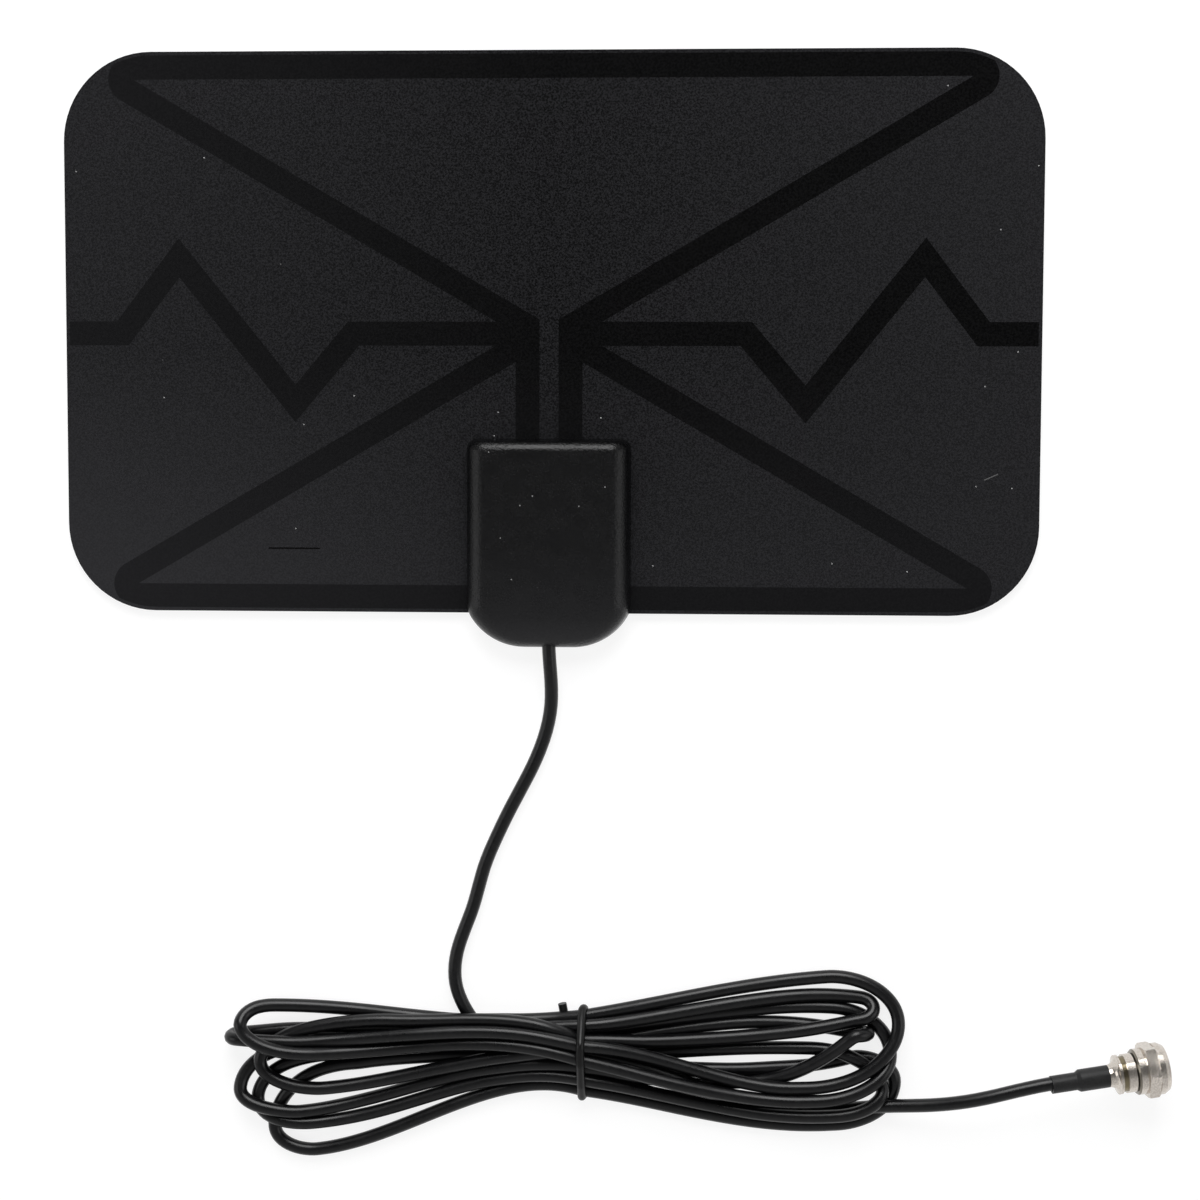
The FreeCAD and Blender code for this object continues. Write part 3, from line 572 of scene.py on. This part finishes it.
MATERIALS = {
    "sheet_plastic": sheet_plastic(),
    "foil_black": foil_black(),
    "housing_plastic": housing_plastic(),
    "cord_jacket": cord_jacket(),
    "nickel": nickel(),
}
for slot, look in {
    "board_laminate": dict(
        dark=(0.02, 0.10, 0.04), light=(0.03, 0.14, 0.06), grain=0.5, rough=0.4, bump=0.1),
    "ferrite": dict(
        dark=(0.02, 0.02, 0.022), light=(0.035, 0.035, 0.037), grain=0.3, rough=0.7, bump=0.3),
    "copper": dict(
        dark=(0.62, 0.30, 0.16), light=(0.72, 0.40, 0.24), grain=0.3, rough=0.25, bump=0.05, metallic=1.0),
    "white_plastic": dict(
        dark=(0.66, 0.65, 0.60), light=(0.74, 0.73, 0.69), grain=0.8, rough=0.4, bump=0.1),
    "tie_plastic": dict(
        dark=grey(0.002), light=grey(0.004), grain=0.5, rough=0.35, bump=0.1, specular=0.25),
    "sleeve_plastic": dict(
        dark=grey(0.005), light=(0.011, 0.011, 0.0115), grain=0.4, rough=0.45, bump=0.25, specular=0.3),
}.items():
    MATERIALS[slot] = grained(slot, **look)[0]


def paint(piece, slot):
    piece.data.materials.clear()
    piece.data.materials.append(MATERIALS[slot])


for part in frame["record"]["subparts"]:
    paint(NODES[part["node"]], part["material_slot"])
for piece, slot in ((cord, "cord_jacket"), (tie, "tie_plastic")):
    paint(piece, slot)
    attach(piece, "antenna")
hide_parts("cord_drop", "cord_hank", "cord_tail")
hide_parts("hank_tie")


# Floor, light and background, in metres. The floor is plain for the light, and almost white to be seen.

FLOOR_SIZE = 6.0
FLOOR_PLAIN, FLOOR_SHADE, FLOOR_GLOW = 0.8, 0.22, 0.82
WHITE = grey(1.0)
ROOM_BY_HEIGHT = [(0.0, 0.7), (0.25, 0.4), (0.5, 0.16), (0.9, 0.15), (1.0, 0.28)]
ROOM_BY_FRONT = [(0.0, 0.0), (0.1, 0.12), (0.3, 0.4), (0.7, 0.65), (1.0, 0.5)]
LIGHT_TARGET = (0.0, -0.05, 0.0)
HEAD_PLACE, HEAD_SIZE, HEAD_POWER = (0.0, 0.62, 0.5), (0.6, 0.6), 8.6
SIDE_X, SIDE_SIZE, SIDE_POWER = 0.8, (0.5, 0.6), 1.4


def add_floor():
    bpy.ops.mesh.primitive_plane_add(size=FLOOR_SIZE, location=(0, 0, 0))
    floor = bpy.context.object
    floor.name = "floor"
    material, tree, shader = new_material("floor")
    tree.nodes.remove(shader)
    path = node(tree, "ShaderNodeLightPath")
    seen = math_node(tree, "MAXIMUM", path.outputs["Is Camera Ray"], path.outputs["Is Glossy Ray"])
    seen = math_node(tree, "MAXIMUM", seen, path.outputs["Is Transmission Ray"])
    plain = node(tree, "ShaderNodeBsdfDiffuse", Color=(*grey(FLOOR_PLAIN), 1))
    shade = node(tree, "ShaderNodeBsdfDiffuse", Color=(*grey(FLOOR_SHADE), 1))
    glow = node(tree, "ShaderNodeEmission", Color=(*WHITE, 1), Strength=FLOOR_GLOW)
    both = node(tree, "ShaderNodeAddShader")
    tree.links.new(shade.outputs[0], both.inputs[0])
    tree.links.new(glow.outputs[0], both.inputs[1])
    choice = node(tree, "ShaderNodeMixShader")
    tree.links.new(seen, choice.inputs["Fac"])
    tree.links.new(plain.outputs[0], choice.inputs[1])
    tree.links.new(both.outputs[0], choice.inputs[2])
    tree.links.new(choice.outputs[0], tree.nodes["Material Output"].inputs["Surface"])
    floor.data.materials.append(material)


def add_area(name, place, size, power):
    """A soft rectangular light that faces the object."""
    data = bpy.data.lights.new(name, "AREA")
    data.shape = "RECTANGLE"
    data.size, data.size_y = size
    data.energy = power
    light = add_object(name, data)
    light.location = place
    light.rotation_euler = (Vector(LIGHT_TARGET) - Vector(place)).to_track_quat("-Z", "Y").to_euler()


def add_world():
    """A white room for the camera. For the light it is dim, and paler low down and on the lead's side."""
    world = bpy.data.worlds.new("world")
    world.use_nodes = True
    bpy.context.scene.world = world
    tree = world.node_tree
    direction = node(tree, "ShaderNodeSeparateXYZ")
    tree.links.new(node(tree, "ShaderNodeTexCoord").outputs["Generated"], direction.inputs[0])
    height = grey_ramp(tree, direction.outputs[2], ROOM_BY_HEIGHT)
    front = grey_ramp(tree, math_node(tree, "MULTIPLY", direction.outputs[1], -1.0), ROOM_BY_FRONT)
    room = mix(tree, height, WHITE, front)
    seen = node(tree, "ShaderNodeLightPath").outputs["Is Camera Ray"]
    tree.links.new(mix(tree, room, WHITE, seen), tree.nodes["Background"].inputs["Color"])


add_floor()
add_world()
add_area("head_light", HEAD_PLACE, HEAD_SIZE, HEAD_POWER)
for name, x in (("right_light", SIDE_X), ("left_light", -SIDE_X)):
    add_area(name, (x, LIGHT_TARGET[1], HEAD_PLACE[2]), SIDE_SIZE, SIDE_POWER)
bpy.context.scene.view_settings.view_transform = "Standard"
